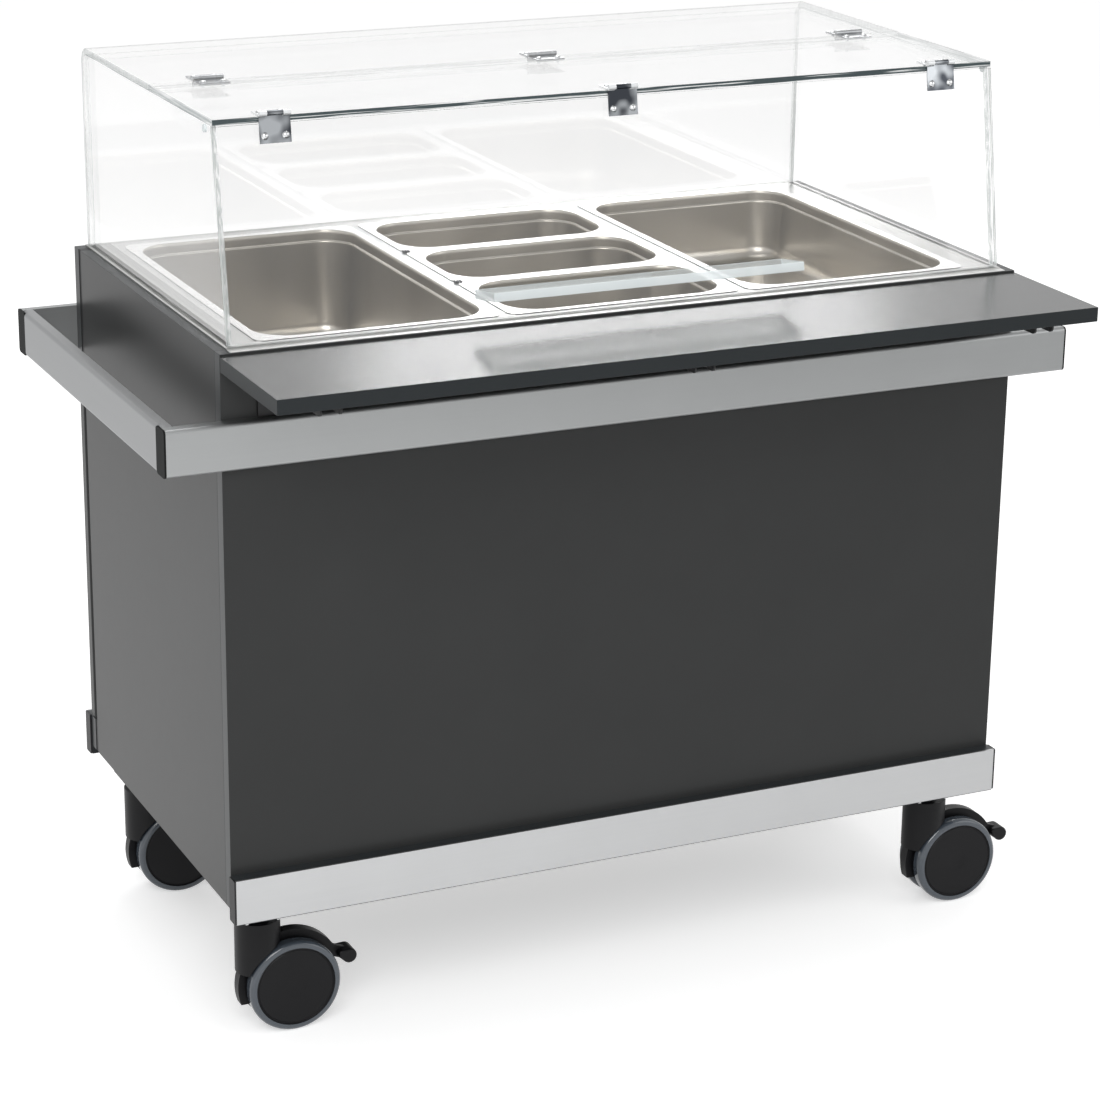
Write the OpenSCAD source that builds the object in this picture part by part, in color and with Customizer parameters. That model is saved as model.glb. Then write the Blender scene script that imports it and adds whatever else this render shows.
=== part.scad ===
// Mobile salad bar: a boarded cabinet on four twin-wheel casters, with a steel well that holds
// five gastronorm pans, a clear serving hood with a lifting top flap and front pane, a fold-down
// tray shelf, a ring of aluminium rails and two rear doors.
// Millimetres, +Z up, floor at z = 0, front towards -Y, x = 0 at the middle of the width.

/* [Cabinet] */
// From an end panel's outer face to the nearest pan
end_margin = 57.5; // [54:0.5:100]
// From the front board's face to the pans
front_margin = 30; // [28:1:60]
// From the pans to the rear face
rear_margin = 32; // [31:1:80]
// Height of the board tops above the floor
top_z = 930; // [850:5:950]
// Underside of the boards above the floor
base_z = 205; // [195:5:240]
// Thickness of every board
board_t = 19; // [16:1:22]
// Height of the rear apron under the board tops
apron_h = 150; // [146:2:200]
// Height of the rear sill above the underside of the boards
sill_h = 47; // [40:1:80]
// Width of the black shadow gap behind the end panels
shadow_gap = 10; // [8:1:16]
// Height of the chassis tubes
chassis_h = 30; // [25:5:40]

/* [Doors] */
// Gap above and below each door
door_gap = 3; // [2:0.5:5]
// Gap between the two doors
door_split = 1.5; // [1:0.5:4]
// Radius of the finger notch that the doors share
notch_r = 25; // [20:1:35]
// Radius of the door pivots
pivot_r = 4; // [3:0.5:5]

/* [Well and pans] */
// Width of a full pan over its flange
pan_w = 325; // [325:1:325]
// Length of a full pan over its flange
pan_l = 530; // [530:1:530]
// Gap between the flanges of two third pans
third_gap = 1; // [1:0.5:2]
// Depth of the left pan
deep_pan = 150; // [100:5:165]
// Depth of the right pan
medium_pan = 100; // [65:5:150]
// Depth of the three middle pans
shallow_pan = 65; // [65:5:150]
// Sheet thickness of the pans
pan_t = 1.2; // [0.8:0.1:1.5]
// Width of the pan flange
flange_w = 13; // [12:0.5:14]
// Corner radius of the pan mouth
mouth_r = 45; // [40:1:50]
// Width of the bar that shows between two bays
bay_gap = 10; // [6:1:16]
// How far a pan flange lies on its support
lap = 10; // [8:0.5:11]
// Thickness of the well's rim
rim_t = 2; // [1.5:0.5:3]
// Depth of the well under the board tops
well_depth = 190; // [180:5:260]
// Sheet thickness of the well and its bars
well_t = 1.5; // [1:0.5:3]

/* [Hood] */
// Height of the hood over the board tops
hood_h = 270; // [220:5:350]
// Thickness of the clear panes
pane_t = 8; // [6:1:10]
// Inset of the side panes from the cabinet's sides
hood_inset = 17; // [15:1:24]
// Inset of the front pane's foot from the front face
hood_front = 16; // [14:1:30]
// Set-back of the front pane's head from the front face
hood_back_set = 60; // [40:1:90]
// Inset of the rear pane from the rear face
hood_rear = 6; // [5:1:12]
// Distance of the split in the top from the front face
split_y = 300; // [260:5:360]
// Outer radius of the bend between rear pane and top
bend_r = 20; // [15:1:40]
// Gap between clear panes that move against each other
pane_gap = 1; // [0.5:0.5:3]
// Length of the grip strip
grip_l = 430; // [300:10:700]
// Depth of the grip strip
grip_d = 60; // [30:5:80]
// Thickness of the grip strip
grip_t = 12; // [8:1:15]
// Height of the grip strip's top over the board tops
grip_z = 42; // [30:1:80]

/* [Hinges] */
// Width of a hinge
leaf_w = 40; // [30:1:60]
// Thickness of a hinge leaf
leaf_t = 1.6; // [1:0.1:2.5]
// Radius of a hinge knuckle
knuckle_r = 3.2; // [3:0.1:4]
// Radius of a hinge pin
hinge_pin_r = 1.5; // [1:0.1:2]
// Distance of the outer hinges from the middle one
hinge_x = 460; // [300:10:480]

/* [Tray shelf] */
// Reach of the shelf in front of the front face
shelf_reach = 198; // [150:2:260]
// Drop of the shelf's top under the board tops
shelf_drop = 2.5; // [1:0.5:20]
// Gap between shelf and front face
shelf_gap = 1.5; // [1:0.5:4]
// Distance of the outer brackets from the middle one
bracket_x = 484; // [350:2:520]
// Distance of the shelf pivots from the front face
pivot_out = 22; // [20:1:30]
// Width of a folding arm
arm_w = 28; // [24:1:36]
// Length of a folding arm in front of its pivot
arm_l = 163; // [100:1:170]

/* [Rails and strips] */
// Height of the ring rails
rail_h = 60; // [40:1:80]
// Thickness of the ring rails
rail_t = 16; // [12:1:20]
// Top of the ring rails under the board tops
rail_drop = 82; // [82:1:88]
// Finger gap between cabinet side and side rail
rail_gap = 61; // [40:1:80]
// Height of the bottom strips
strip_h = 60; // [40:1:80]
// Thickness of the bottom strips
strip_t = 20; // [15:1:30]
// Thickness of the metal face on the bottom strips
face_t = 3; // [1:0.5:4]
// Thickness of the strip end caps
cap_t = 2.5; // [1:0.5:4]

/* [Casters] */
// Radius of the wheels
wheel_r = 62.5; // [50:0.5:62.5]
// Width of one wheel
wheel_w = 21; // [15:1:25]
// Radius of the hub disc inside the tyre
hub_r = 54; // [40:1:55]
// Thickness of the caster body between the wheels
web_t = 15; // [14:1:20]
// Distance between swivel axis and wheel axle
trail = 42; // [30:1:45]
// Distance of the swivel axes from the cabinet's sides
caster_in_x = 56; // [54:1:90]
// Distance of the swivel axes from the front and rear faces
caster_in_y = 64; // [60:1:90]
// Side of the square top plate
plate_s = 60; // [60:1:60]
// Thickness of the top plate
plate_t = 3; // [3:0.5:3]
// Spacing of the plate bolts
bolt_s = 42; // [40:1:44]

/* [Hidden] */
$fn = 48;

run_fit = 0.05;                     // radial clearance of a shaft that turns in its hole
eps = 0.01;
body_w = 3 * pan_w + 2 * bay_gap + 2 * end_margin;
body_d = pan_l + front_margin + rear_margin;
third_l = (pan_l - 2 * third_gap) / 3;
half_w = body_w / 2;
rear_proud = max(rail_t, strip_t);
front_y = (shelf_reach - body_d - rear_proud) / 2;
panel_end = body_d - board_t - shadow_gap;          // rear edge of the end panels
inner_x = half_w - board_t;                         // inner face of the end panels
door_z0 = base_z + sill_h + door_gap;
door_z1 = top_z - apron_h - door_gap;
pivot_x = half_w - board_t / 2;
pivot_y = body_d - board_t / 2;
pivot_deep = 12;
notch_drop = 3 * notch_r;

pan_y0 = front_margin;                              // front edge of the pan field
pitch = pan_w + bay_gap;
open_x = 1.5 * pan_w + bay_gap - lap;
open_y0 = pan_y0 + lap;
open_y1 = pan_y0 + pan_l - lap;
rim_z = top_z + rim_t;
third_pitch = (pan_l - third_l) / 2;
bar_h = 25;
cross_h = 15;
clip_t = 2;

lean = atan((hood_back_set - hood_front) / (hood_h - rim_t));
side_x = half_w - hood_inset;                       // outer face of the side panes
back_in = body_d - hood_rear - pane_t;              // inner face of the rear pane
knuckle_up = knuckle_r + 0.3;                       // knuckle axis over the sheet it lies on
rear_axis = [split_y - pane_gap / 2, hood_h + knuckle_up];
front_axis = [hood_back_set - knuckle_up * (1 - sin(lean)) / cos(lean), hood_h + knuckle_up];
short_leaf = 28;
long_leaf = 36;
screw_in = 9;
screw_r = 1.9;
bumper_r = 5;
bumper_t = 3;
bumper_in = 22;
bumper_drop = 14;

shelf_z1 = top_z - shelf_drop;
shelf_z0 = shelf_z1 - board_t;
pivot_drop = 9;
shelf_pivot_z = shelf_z0 - pivot_drop;
arm_wall = 2.5;

rail_z0 = top_z - rail_drop - rail_h;
rail_x = half_w + rail_gap;
strip_z0 = base_z + sill_h - strip_h;

plate_z1 = base_z - chassis_h;
plate_z0 = plate_z1 - plate_t;
nut_h = 12;
body_top = plate_z0 - nut_h - 2;
web_r = wheel_r + 9.5;
wheel_gap = 1;
wheel_y = web_t / 2 + wheel_gap + wheel_w / 2;
axle_r = 6;
king_r = 6;
pedal_p = [46, 34];
pedal_q = [81, 21];
pedal_r = 8;
paddle_r = 10;
paddle_l = 28;
boss_r = 30;                                        // round boss under the top plate
boss_z = wheel_r + 22.5;
neck_r = 16;
skirt_z = wheel_r - 23.5;                           // lowest edge of the body round its stem
king_deep = 24;
wheel_room = 3;                                     // round each tyre

BOARD = [0.26, 0.27, 0.28];
STEEL = [0.78, 0.78, 0.76];
ALU = [0.70, 0.71, 0.72];
BLACK = [0.08, 0.08, 0.09];
CLEAR = [0.85, 0.92, 0.92, 0.35];
CHROME = [0.86, 0.87, 0.88];
TYRE = [0.30, 0.33, 0.36];

// ---- helpers -------------------------------------------------------------------------------
// y counted from the front board's face
module from_front() translate([0, front_y, 0]) children();

// a (y, z) outline drawn out along x
module along_x(x0, x1) translate([x0, 0, 0]) rotate([90, 0, 90]) linear_extrude(x1 - x0) children();

// an (x, z) outline drawn out along y
module along_y(y0, y1) translate([0, y1, 0]) rotate([90, 0, 0]) linear_extrude(y1 - y0) children();

// a block from corner a to corner b
module block(a, b) translate(a) cube([b[0] - a[0], b[1] - a[1], b[2] - a[2]]);

// a centred rectangle with round corners
module rounded(w, l, r) {
    square([w - 2 * r, l], center = true);
    square([w, l - 2 * r], center = true);
    for (x = [-1, 1], y = [-1, 1]) translate([x * (w / 2 - r), y * (l / 2 - r)]) circle(r);
}

// a bar with round ends between two points
module slot(p, q, r) {
    d = q - p;
    translate(p) circle(r);
    translate(q) circle(r);
    translate(p) rotate(atan2(d[1], d[0])) translate([0, -r]) square([norm(d), 2 * r]);
}

// ---- cabinet -------------------------------------------------------------------------------
module end_panel(s) color(BOARD) from_front() translate([s * (half_w - board_t / 2), 0, 0])
    block([-board_t / 2, board_t, base_z], [board_t / 2, panel_end, top_z]);

module left_end_panel() end_panel(-1);
module right_end_panel() end_panel(1);

module front_board() color(BOARD) from_front()
    block([-half_w, 0, base_z], [half_w, board_t, top_z]);

module bottom_board() color(BOARD) from_front()
    block([-inner_x, board_t, base_z], [inner_x, body_d - board_t, base_z + board_t]);

module rear_apron() color(BOARD) from_front() difference() {
    block([-half_w, body_d - board_t, top_z - apron_h], [half_w, body_d, top_z]);
    for (s = [-1, 1]) translate([s * pivot_x, pivot_y, top_z - apron_h - 1])
        cylinder(h = pivot_deep + 1, r = pivot_r + run_fit);
}

module rear_sill() color(BOARD) from_front() difference() {
    block([-half_w, body_d - board_t, base_z], [half_w, body_d, base_z + sill_h]);
    for (s = [-1, 1]) translate([s * pivot_x, pivot_y, base_z + sill_h - pivot_deep])
        cylinder(h = pivot_deep + 1, r = pivot_r + run_fit);
}

// black strips in the shadow gap: full depth behind apron and sill, half depth behind the doors
module rear_edge_strips() color(BLACK) from_front() for (s = [-1, 1]) difference() {
    translate([s * (half_w - board_t / 2), 0, 0])
        block([1 - board_t / 2, panel_end, base_z], [board_t / 2 - 1, body_d - board_t, top_z]);
    translate([s * (half_w - board_t / 2), 0, 0])
        block([-board_t, panel_end + shadow_gap / 2, base_z + sill_h],
              [board_t, body_d, top_z - apron_h]);
}

module tube(a, b, axis) difference() {
    block(a, b);
    translate([axis == 0 ? -1 : 2, axis == 1 ? -1 : 2, 2]) block(a, b - [axis == 0 ? -2 : 4,
        axis == 1 ? -2 : 4, 4]);
}

// welded steel frame under the boards; the casters bolt to its two long tubes
module chassis_tubes() color(BLACK) from_front() {
    x1 = half_w - 20;
    y0 = caster_in_y - plate_s / 2;
    y1 = caster_in_y + plate_s / 2;
    for (y = [y0, body_d - y1]) difference() {
        tube([-x1, y, plate_z1], [x1, y + plate_s, base_z], 0);
        for (s = [-1, 1], i = [-1, 1], j = [-1, 1])
            translate([s * (half_w - caster_in_x) + i * bolt_s / 2,
                       y + plate_s / 2 + j * bolt_s / 2, plate_z1 - 1]) cylinder(h = 4, r = 3.1);
    }
    for (x = [-x1, x1 - chassis_h])
        tube([x, y1, plate_z1], [x + chassis_h, body_d - y1, base_z], 1);
}

// ---- doors ---------------------------------------------------------------------------------
module door(s) color(BOARD) from_front() difference() {
    translate([0, 0, door_z0]) linear_extrude(door_z1 - door_z0) {
        block2([s * door_split / 2, body_d - board_t], [s * (half_w - 3), body_d]);
        block2([s * (half_w - 4), body_d - board_t + 3], [s * half_w, body_d - 3]);
        for (y = [body_d - board_t + 3, body_d - 3]) translate([s * (half_w - 3), y]) circle(3);
    }
    for (z = [door_z0 - 1, door_z1 - pivot_deep - 2])
        translate([s * pivot_x, pivot_y, z]) cylinder(h = pivot_deep + 3, r = pivot_r + run_fit);
    translate([0, body_d + 1, door_z1 - notch_drop]) rotate([90, 0, 0])
        cylinder(h = board_t + 2, r = notch_r);
}

// a rectangle between two corners given in any order
module block2(a, b) translate([min(a[0], b[0]), min(a[1], b[1])])
    square([abs(b[0] - a[0]), abs(b[1] - a[1])]);

module left_door() door(-1);
module right_door() door(1);

module door_pivots() color(CHROME) from_front() for (s = [-1, 1]) {
    translate([s * pivot_x, pivot_y, base_z + sill_h - pivot_deep])
        cylinder(h = 2 * pivot_deep + door_gap, r = pivot_r);
    translate([s * pivot_x, pivot_y, door_z1 - pivot_deep])
        cylinder(h = 2 * pivot_deep + door_gap, r = pivot_r);
}

// ---- well, bars and pans -------------------------------------------------------------------
module well() color(STEEL) from_front() {
    mid = (open_y0 + open_y1) / 2;
    len = open_y1 - open_y0;
    difference() {
        union() {
            block([-inner_x - 5, hood_front - 3, top_z],
                  [inner_x + 5, body_d - hood_rear + 2, rim_z]);
            translate([0, mid, top_z - well_depth]) linear_extrude(well_depth + eps)
                rounded(2 * (open_x + well_t), len + 2 * well_t, 12);
        }
        translate([0, mid, top_z - well_depth + well_t]) linear_extrude(well_depth + 10)
            rounded(2 * open_x, len, 12 - well_t);
    }
    // clips that carry the bay bars
    for (s = [-1, 1], y = [open_y0 - eps, open_y1 - 12])
        translate([s * pitch / 2, 0, 0])
            block([-15, y, rim_z - bar_h - clip_t], [15, y + 12 + eps, rim_z - bar_h]);
}

module channel(w, h) difference() {
    translate([-w / 2, -h]) square([w, h]);
    translate([-w / 2 + well_t, -h - 1]) square([w - 2 * well_t, h + 1 - well_t]);
}

module bay_bars() color(STEEL) from_front() for (s = [-1, 1]) translate([s * pitch / 2, 0, rim_z]) {
    along_y(open_y0 + 0.5, open_y1 - 0.5) channel(bay_gap + 2 * lap, bar_h);
    // ledges for the cross bars
    for (k = [-0.5, 0.5]) translate([0, pan_y0 + pan_l / 2 + k * third_pitch, 0])
        block([s > 0 ? -bay_gap / 2 - lap - 8 : bay_gap / 2 + lap - eps, -lap, -cross_h - clip_t],
              [s > 0 ? -bay_gap / 2 - lap + eps : bay_gap / 2 + lap + 8, lap, -cross_h]);
}

module cross_bars() color(STEEL) from_front()
    for (k = [-0.5, 0.5]) translate([0, pan_y0 + pan_l / 2 + k * third_pitch, rim_z])
        along_x(-pan_w / 2 + lap + 0.5, pan_w / 2 - lap - 0.5) channel(2 * lap + 1, cross_h);

// section of a pan's wall, from the corner's centre outwards
module pan_wall(depth) {
    step = 3;
    fr = 22;
    band = 14;
    u = mouth_r - step;
    translate([mouth_r, -band]) square([pan_t, band]);
    translate([u, -band]) square([step + pan_t, pan_t]);
    translate([u, -depth + fr]) square([pan_t, depth - fr - band + pan_t]);
    translate([u + pan_t - fr, -depth + fr]) intersection() {
        difference() {
            circle(fr);
            circle(fr - pan_t);
        }
        translate([0, -fr]) square([fr, fr]);
    }
    translate([0, -depth]) square([u + pan_t - fr, pan_t]);
}

// gastronorm pan, flange top at z = 0
module pan(w, l, depth) {
    cx = w / 2 - flange_w - mouth_r;
    cy = l / 2 - flange_w - mouth_r;
    translate([0, 0, -pan_t]) linear_extrude(pan_t) difference() {
        rounded(w, l, 14);
        rounded(w - 2 * flange_w, l - 2 * flange_w, mouth_r);
    }
    for (k = [0:3]) rotate(90 * k)
        translate([k % 2 == 0 ? cx : cy, k % 2 == 0 ? cy : cx, 0])
            rotate_extrude(angle = 90) pan_wall(depth);
    for (s = [0, 180]) rotate(s) {
        translate([cx, 0, 0]) along_y(-cy, cy) pan_wall(depth);
        rotate(90) translate([cy, 0, 0]) along_y(-cx, cx) pan_wall(depth);
    }
    translate([-cx, -cy, -depth]) cube([2 * cx, 2 * cy, pan_t]);
}

module seated(x, y) color(STEEL) from_front() translate([x, y, rim_z + pan_t]) children();

module left_pan() seated(-pitch, pan_y0 + pan_l / 2) pan(pan_w, pan_l, deep_pan);
module right_pan() seated(pitch, pan_y0 + pan_l / 2) pan(pan_w, pan_l, medium_pan);
module middle_front_pan() seated(0, pan_y0 + third_l / 2) pan(pan_w, third_l, shallow_pan);
module middle_centre_pan() seated(0, pan_y0 + pan_l / 2) pan(pan_w, third_l, shallow_pan);
module middle_rear_pan() seated(0, pan_y0 + pan_l - third_l / 2) pan(pan_w, third_l, shallow_pan);

// ---- tray shelf ----------------------------------------------------------------------------
module tray_shelf() color(BOARD) from_front()
    block([-half_w, -shelf_reach, shelf_z0], [half_w, -shelf_gap, shelf_z1]);

module at_brackets() from_front() for (x = [-bracket_x, 0, bracket_x])
    translate([x, -pivot_out, shelf_pivot_z]) children();

// wall plate with two cheeks that carry the pivot
module shelf_wall_brackets() color(BLACK) at_brackets() {
    cheek = arm_w / 2 - arm_wall - 1.5;
    plate_low = top_z - rail_drop - shelf_pivot_z + 2;
    block([-25, pivot_out - 4, plate_low], [25, pivot_out, 6]);
    for (x = [-cheek, cheek - 4]) difference() {
        along_x(x, x + 4) {
            slot([0, 0], [pivot_out - 6, 0], 6);
            polygon([[0, -4], [pivot_out - 3, plate_low + 3], [pivot_out - 3, 6], [0, 4]]);
        }
        rotate([0, 90, 0]) cylinder(h = arm_w, r = 4 + run_fit, center = true);
    }
}

// folding arms: channels screwed under the shelf
module shelf_arms() color(BLACK) at_brackets() difference() {
    union() {
        block([-arm_w / 2, -arm_l, pivot_drop - arm_wall], [arm_w / 2, 8, pivot_drop]);
        for (x = [-arm_w / 2, arm_w / 2 - arm_wall]) along_x(x, x + arm_wall) {
            circle(pivot_drop);
            translate([-arm_l + 6, 4]) square([arm_l - 6, pivot_drop - 4]);
            translate([-arm_l + 6, -3]) square([arm_l - 6, 8]);
            translate([-arm_l + 6, pivot_drop - 6]) circle(6);
        }
    }
    rotate([0, 90, 0]) cylinder(h = 2 * arm_w, r = 4 + run_fit, center = true);
}

module shelf_pivot_pins() color(CHROME) at_brackets() rotate([0, 90, 0]) {
    cylinder(h = arm_w + 5, r = 4, center = true);
    for (s = [-1, 1]) translate([0, 0, s * (arm_w / 2 + 1.7)])
        cylinder(h = 2.4, r = 6.5, center = true);
}

// ---- rails and strips ----------------------------------------------------------------------
// rail section: inner face at 0, outer edges rounded
module rail_section() {
    r = 5;
    difference() {
        union() {
            square([rail_t - r, rail_h]);
            translate([0, r]) square([rail_t, rail_h - 2 * r]);
            for (z = [r, rail_h - r]) translate([rail_t - r, z]) circle(r);
        }
        translate([3, 3]) square([rail_t - 6, rail_h - 6]);
    }
}

module front_rail() color(ALU) from_front() translate([0, 0, rail_z0])
    along_x(-rail_x, rail_x) mirror([1, 0]) rail_section();

module rear_rail() color(ALU) from_front() translate([0, body_d, rail_z0])
    along_x(-rail_x, rail_x) rail_section();

module side_rails() color(ALU) from_front() translate([0, 0, rail_z0]) {
    translate([rail_x, 0, 0]) along_y(0, body_d) rail_section();
    translate([-rail_x, 0, 0]) along_y(0, body_d) mirror([1, 0]) rail_section();
}

module corner_cap() {
    r = 12;
    linear_extrude(rail_h) {
        square([rail_t, rail_t - r]);
        square([rail_t - r, rail_t]);
        intersection() {
            translate([rail_t - r, rail_t - r]) circle(r);
            square(rail_t);
        }
    }
    block([-18, 3.2, 3.2], [1, rail_t - 3.2, rail_h - 3.2]);
    block([3.2, -18, 3.2], [rail_t - 3.2, 1, rail_h - 3.2]);
}

module rail_corner_caps() color(BLACK) from_front() {
    translate([rail_x, body_d, rail_z0]) corner_cap();
    translate([-rail_x, body_d, rail_z0]) rotate(90) corner_cap();
    translate([-rail_x, 0, rail_z0]) rotate(180) corner_cap();
    translate([rail_x, 0, rail_z0]) rotate(270) corner_cap();
}

module strip_cores() color(BOARD) from_front() {
    block([-half_w, face_t - strip_t, strip_z0], [half_w, 0, strip_z0 + strip_h]);
    block([-half_w, body_d, strip_z0], [half_w, body_d + strip_t - face_t, strip_z0 + strip_h]);
}

module strip_faces() color(ALU) from_front() {
    block([-half_w, -strip_t, strip_z0], [half_w, face_t - strip_t, strip_z0 + strip_h]);
    block([-half_w, body_d + strip_t - face_t, strip_z0],
          [half_w, body_d + strip_t, strip_z0 + strip_h]);
}

module strip_end_caps() color(BLACK) from_front()
    for (x = [-half_w - cap_t, half_w], y = [-strip_t, body_d]) translate([0, y, strip_z0])
        along_x(x, x + cap_t) translate([strip_t / 2, strip_h / 2])
            rounded(strip_t, strip_h, 2);

// ---- hood ----------------------------------------------------------------------------------
// frame of the leaning front pane: origin at the hood's front top edge, u inwards, v up the pane
module leaning() translate([hood_back_set, hood_h]) rotate(-lean) children();

function outer_y(z) = hood_back_set - (hood_h - z) * tan(lean);

module at_top() from_front() translate([0, 0, top_z]) children();

module hood_rear_pane() color(CLEAR) at_top() difference() {
    along_x(-side_x, side_x) {
        translate([back_in, rim_t]) square([pane_t, hood_h - bend_r - rim_t]);
        translate([split_y, hood_h - pane_t])
            square([back_in + pane_t - bend_r - split_y, pane_t]);
        translate([back_in + pane_t - bend_r, hood_h - bend_r]) intersection() {
            difference() {
                circle(bend_r);
                circle(bend_r - pane_t);
            }
            square([bend_r, bend_r]);
        }
    }
    at_hinges(rear_axis) leaf_holes(short_leaf, 1);
}

module side_pane(s) color(CLEAR) at_top()
    along_x(s > 0 ? side_x - pane_t : -side_x, s > 0 ? side_x : pane_t - side_x) {
        r = bend_r - pane_t;
        top = hood_h - pane_t;
        off = (pane_t + pane_gap) / cos(lean);
        difference() {
            polygon([[outer_y(rim_t) + off, rim_t], [back_in, rim_t], [back_in, top],
                     [outer_y(top) + off, top]]);
            translate([back_in - r, top - r]) square([r + 1, r + 1]);
        }
        translate([back_in - r, top - r]) circle(r);
    }

module hood_left_pane() side_pane(-1);
module hood_right_pane() side_pane(1);

module hood_top_flap() color(CLEAR) at_top() difference() {
    block([-side_x, hood_back_set, hood_h - pane_t], [side_x, split_y - pane_gap, hood_h]);
    at_hinges(rear_axis) leaf_holes(short_leaf, -1);
    at_hinges(front_axis) leaf_holes(short_leaf, 1);
}

module hood_front_pane() color(CLEAR) at_top() difference() {
    v0 = (hood_h - rim_t - pane_gap - pane_t * sin(lean)) / cos(lean);
    v1 = (pane_t + pane_gap) / cos(lean);
    along_x(-side_x, side_x) leaning() translate([0, -v0]) square([pane_t, v0 - v1]);
    at_hinges(front_axis) rotate([90 - lean, 0, 0]) leaf_holes(long_leaf, -1);
}

module grip_strip() color(CLEAR) at_top() {
    v = (hood_h - grip_z) / cos(lean);
    along_x(-grip_l / 2, grip_l / 2) leaning() translate([-grip_d / 2, -v - grip_t / 2])
        square([grip_d, grip_t], center = true);
}

// ---- hinges --------------------------------------------------------------------------------
module at_hinges(axis) for (x = [-hinge_x, 0, hinge_x])
    translate([x, axis[0], axis[1]]) children();

module leaf_holes(leaf, s) for (x = [-1, 1])
    translate([x * leaf_w / 3, s * (leaf - screw_in), -knuckle_up - pane_t + 1])
        cylinder(h = pane_t + leaf_t + 1, r = screw_r + run_fit);

// leaf that carries the pin in its two outer knuckles; s = 1 lies towards +y, s = -1 towards -y
module pin_leaf(leaf, s) difference() {
    third = leaf_w / 4;
    union() {
        for (x = [-leaf_w / 2, third + 0.2]) along_x(x, x + third - 0.2) {
            circle(knuckle_r);
            block2([0, -knuckle_up], [s * leaf, leaf_t - knuckle_up]);
        }
        along_x(-leaf_w / 2, leaf_w / 2)
            block2([s * (knuckle_up + 1), -knuckle_up], [s * leaf, leaf_t - knuckle_up]);
        along_x(-leaf_w / 2, leaf_w / 2) circle(hinge_pin_r);
    }
    leaf_holes(leaf, s);
}

// leaf with the middle knuckle, which turns on the pin
module turning_leaf(leaf, s) difference() {
    third = leaf_w / 4;
    union() {
        along_x(-third, third) {
            circle(knuckle_r);
            block2([0, -knuckle_up], [s * leaf, leaf_t - knuckle_up]);
        }
        along_x(-leaf_w / 2, leaf_w / 2)
            block2([s * (knuckle_up + 1), -knuckle_up], [s * leaf, leaf_t - knuckle_up]);
    }
    along_x(-leaf_w, leaf_w) circle(hinge_pin_r + run_fit);
    leaf_holes(leaf, s);
}

module dome_screws(leaf, s) for (x = [-1, 1])
    translate([x * leaf_w / 3, s * (leaf - screw_in), leaf_t - knuckle_up]) {
        translate([0, 0, 1 - pane_t]) cylinder(h = pane_t - 1 + eps, r = screw_r);
        intersection() {
            translate([0, 0, -3]) sphere(5.5);
            cylinder(h = 5, r = 4.6);
        }
    }

module rear_hinge_fixed_leaves() color(CHROME) at_top() at_hinges(rear_axis)
    pin_leaf(short_leaf, 1);

module rear_hinge_flap_leaves() color(CHROME) at_top() at_hinges(rear_axis)
    turning_leaf(short_leaf, -1);

module front_hinge_flap_leaves() color(CHROME) at_top() at_hinges(front_axis)
    pin_leaf(short_leaf, 1);

module front_hinge_pane_leaves() color(CHROME) at_top() at_hinges(front_axis)
    rotate([90 - lean, 0, 0]) turning_leaf(long_leaf, -1);

module rear_pane_screws() color(CHROME) at_top() at_hinges(rear_axis) dome_screws(short_leaf, 1);

module flap_screws() color(CHROME) at_top() {
    at_hinges(rear_axis) dome_screws(short_leaf, -1);
    at_hinges(front_axis) dome_screws(short_leaf, 1);
}

module front_pane_screws() color(CHROME) at_top() at_hinges(front_axis)
    rotate([90 - lean, 0, 0]) dome_screws(long_leaf, -1);

module side_pane_bumpers() color(CLEAR) at_top()
    for (x = [-side_x - bumper_t, side_x]) translate([x, hood_back_set + bumper_in, hood_h - bumper_drop])
        rotate([0, 90, 0]) cylinder(h = bumper_t, r = bumper_r);

// ---- casters -------------------------------------------------------------------------------
module at_caster(sx, sy) from_front()
    translate([sx * (half_w - caster_in_x), sy < 0 ? caster_in_y : body_d - caster_in_y, 0])
        children();

module caster_plates() color(CHROME) for (sx = [-1, 1], sy = [-1, 1]) at_caster(sx, sy)
    difference() {
        union() {
            translate([0, 0, plate_z0]) linear_extrude(plate_t) rounded(plate_s, plate_s, 5);
            translate([0, 0, body_top - king_deep])
                cylinder(h = plate_z0 - body_top + king_deep + eps, r = king_r);
        }
        for (i = [-1, 1], j = [-1, 1])
            translate([i * bolt_s / 2, j * bolt_s / 2, plate_z0 - 1])
                cylinder(h = plate_t + 2, r = 3.1);
    }

// tapered cap nuts under each plate, with their studs
module caster_nuts() color(CHROME) for (sx = [-1, 1], sy = [-1, 1]) at_caster(sx, sy)
    for (i = [-1, 1], j = [-1, 1])
        translate([i * bolt_s / 2, j * bolt_s / 2, plate_z0 - nut_h]) {
            cylinder(h = nut_h, r1 = 3.2, r2 = 5);
            cylinder(h = nut_h + plate_t + 8, r = 3);
        }

module wheel_axis() translate([trail, 0, wheel_r]) rotate([90, 0, 0]) children();

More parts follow.
